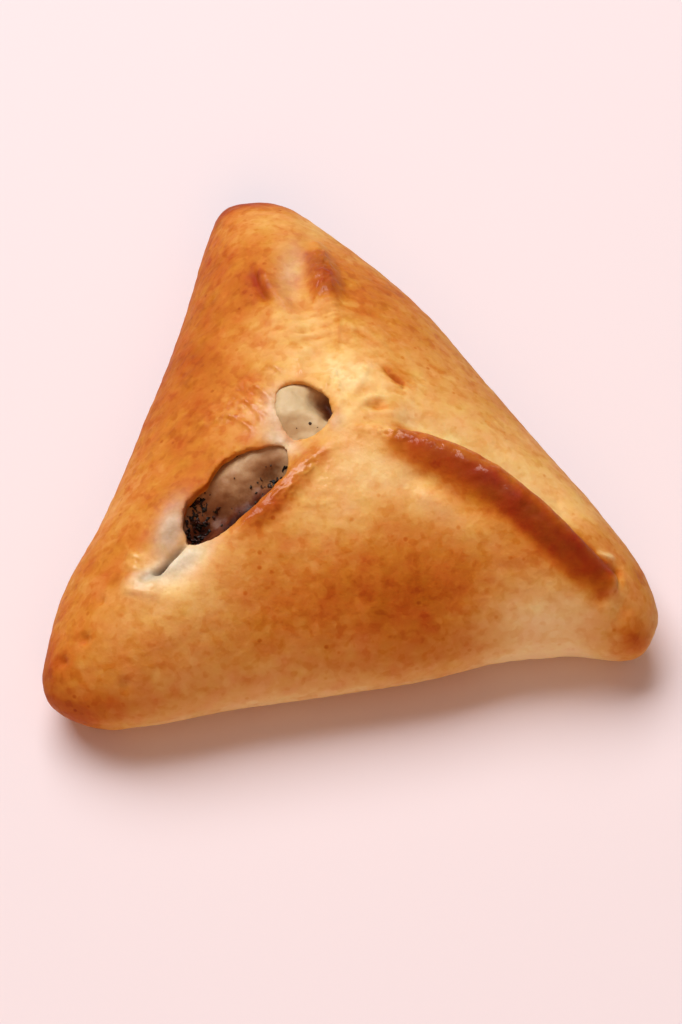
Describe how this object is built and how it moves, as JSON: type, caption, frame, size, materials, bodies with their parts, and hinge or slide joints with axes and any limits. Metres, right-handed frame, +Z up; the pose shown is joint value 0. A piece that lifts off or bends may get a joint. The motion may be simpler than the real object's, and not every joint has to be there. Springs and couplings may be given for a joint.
{
  "type": "spinach pastry",
  "caption": "Three-cornered baked pastry of folded dough, with a pinched ridge along one seam and a burst seam that shows the filling.",
  "frame": {"origin": "middle of the flat base, under the centre of the bounding box", "axes": "+Z up from the base, +X to the right along the front side, from the left corner to the right corner, +Y to the far corner"},
  "size_m": [0.1049, 0.1076, 0.032],
  "materials": {
    "crust": "baked bread dough, mottled golden brown with a light egg-wash sheen",
    "filling": "moist cream-coloured filling with dark herb specks"
  },
  "bodies": {
    "root": {"crust": "crust", "filling": "filling"}
  },
  "joints": []
}
